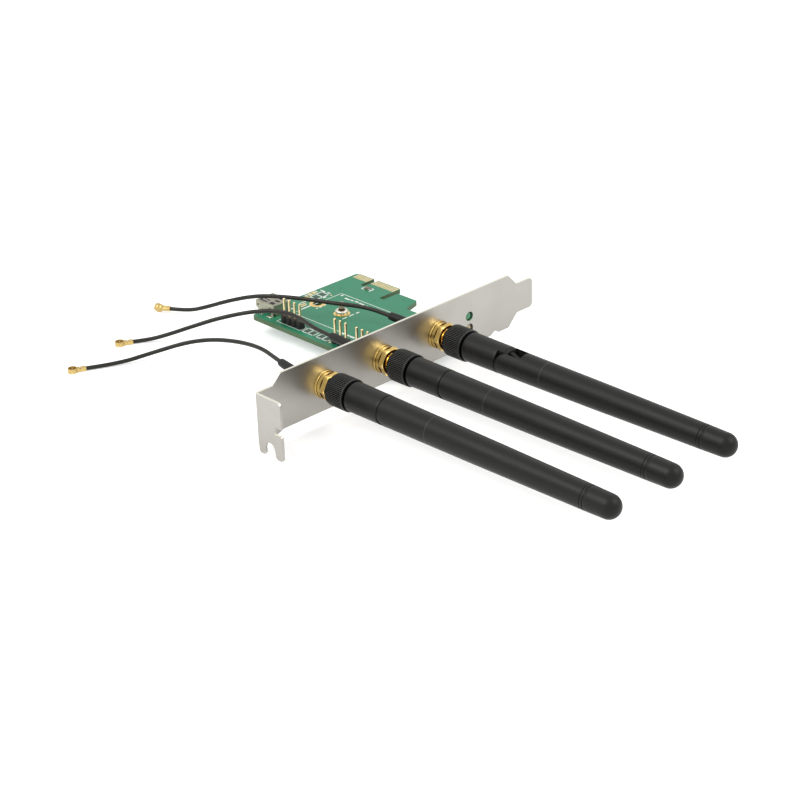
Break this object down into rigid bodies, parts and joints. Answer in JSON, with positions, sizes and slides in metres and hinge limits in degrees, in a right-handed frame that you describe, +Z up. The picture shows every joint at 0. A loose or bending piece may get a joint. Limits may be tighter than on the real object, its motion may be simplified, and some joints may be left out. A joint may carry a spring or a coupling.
{
  "type": "ngff adapter card",
  "caption": "Expansion card adapter for a small radio module: bracket with antenna jacks, hinged antennas, board with edge connector and coaxial leads.",
  "frame": {"origin": "centre of the footprint at the height of the bracket flange's feet", "axes": "+X outwards from the plate along the antennas, +Y along the bracket from its flange to its tongue, +Z up from the board's top side"},
  "size_m": [0.2218, 0.1262, 0.0222],
  "materials": {
    "steel": "satin",
    "board": "semi-gloss",
    "gold": "polished",
    "tin": "bright",
    "black_plastic": "satin",
    "white_plastic": "satin",
    "chip": "satin",
    "green_lens": "clear",
    "amber_lens": "clear",
    "sleeve": "satin",
    "lead_jacket": "satin"
  },
  "bodies": {
    "card": {"bracket": "steel", "bracket_screws": "steel", "circuit_board": "board", "edge_contacts": "gold", "gold_pads": "gold", "module_socket": "black_plastic", "module_socket_contacts": "gold", "module_standoff": "tin", "module_screw": "tin", "supply_socket_shell": "tin", "supply_socket_tongue": "black_plastic", "supply_socket_contacts": "gold", "lamp_holder": "black_plastic", "lamp_amber": "amber_lens", "lamp_green": "green_lens", "lamp_legs": "tin", "board_chips": "chip", "header_4_housing": "black_plastic", "header_4_pins": "gold", "header_3_housings": "black_plastic", "header_3_pins": "gold", "jack_insulators": "white_plastic", "jack_contacts": "gold", "jack_body_1": "gold", "jack_washer_1": "gold", "jack_nut_1": "gold", "lead_sleeve_1": "sleeve", "lead_1": "lead_jacket", "lead_plug_1": "gold", "jack_body_2": "gold", "jack_washer_2": "gold", "jack_nut_2": "gold", "lead_sleeve_2": "sleeve", "lead_2": "lead_jacket", "lead_plug_2": "gold", "jack_body_3": "gold", "jack_washer_3": "gold", "jack_nut_3": "gold", "lead_sleeve_3": "sleeve", "lead_3": "lead_jacket", "lead_plug_3": "gold"},
    "nut_1": {"coupling_nut_1": "black_plastic"},
    "base_1": {"antenna_plug_1": "gold", "antenna_base_1": "black_plastic", "hinge_pin_1": "black_plastic"},
    "radome_body_1": {"radome_1": "black_plastic", "tip_cap_1": "black_plastic"},
    "nut_2": {"coupling_nut_2": "black_plastic"},
    "base_2": {"antenna_plug_2": "gold", "antenna_base_2": "black_plastic", "hinge_pin_2": "black_plastic"},
    "radome_body_2": {"radome_2": "black_plastic", "tip_cap_2": "black_plastic"},
    "nut_3": {"coupling_nut_3": "black_plastic"},
    "base_3": {"antenna_plug_3": "gold", "antenna_base_3": "black_plastic", "hinge_pin_3": "black_plastic"},
    "radome_body_3": {"radome_3": "black_plastic", "tip_cap_3": "black_plastic"}
  },
  "joints": [
    {"name": "nut_1_turn", "type": "hinge", "parent": "card", "child": "nut_1", "pos_m": [-0.0138, -0.03291, 0.0125], "axis": [1, 0, 0], "continuous": true},
    {"name": "antenna_1_swivel", "type": "hinge", "parent": "card", "child": "base_1", "pos_m": [-0.0038, -0.03291, 0.0125], "axis": [1, 0, 0], "continuous": true},
    {"name": "antenna_1_tilt", "type": "hinge", "parent": "base_1", "child": "radome_body_1", "pos_m": [0.0072, -0.03291, 0.0125], "axis": [0, 1, 0], "range_deg": [0, 90]},
    {"name": "nut_2_turn", "type": "hinge", "parent": "card", "child": "nut_2", "pos_m": [-0.0138, -0.00856, 0.0125], "axis": [1, 0, 0], "continuous": true},
    {"name": "antenna_2_swivel", "type": "hinge", "parent": "card", "child": "base_2", "pos_m": [-0.0038, -0.00856, 0.0125], "axis": [1, 0, 0], "continuous": true},
    {"name": "antenna_2_tilt", "type": "hinge", "parent": "base_2", "child": "radome_body_2", "pos_m": [0.0085, -0.00856, 0.0125], "axis": [0, 1, 0], "range_deg": [0, 90]},
    {"name": "nut_3_turn", "type": "hinge", "parent": "card", "child": "nut_3", "pos_m": [-0.0138, 0.01579, 0.0125], "axis": [1, 0, 0], "continuous": true},
    {"name": "antenna_3_swivel", "type": "hinge", "parent": "card", "child": "base_3", "pos_m": [-0.0038, 0.01579, 0.0125], "axis": [1, 0, 0], "continuous": true},
    {"name": "antenna_3_tilt", "type": "hinge", "parent": "base_3", "child": "radome_body_3", "pos_m": [0.0085, 0.01579, 0.0125], "axis": [0, -1, 0], "range_deg": [0, 90]}
  ]
}
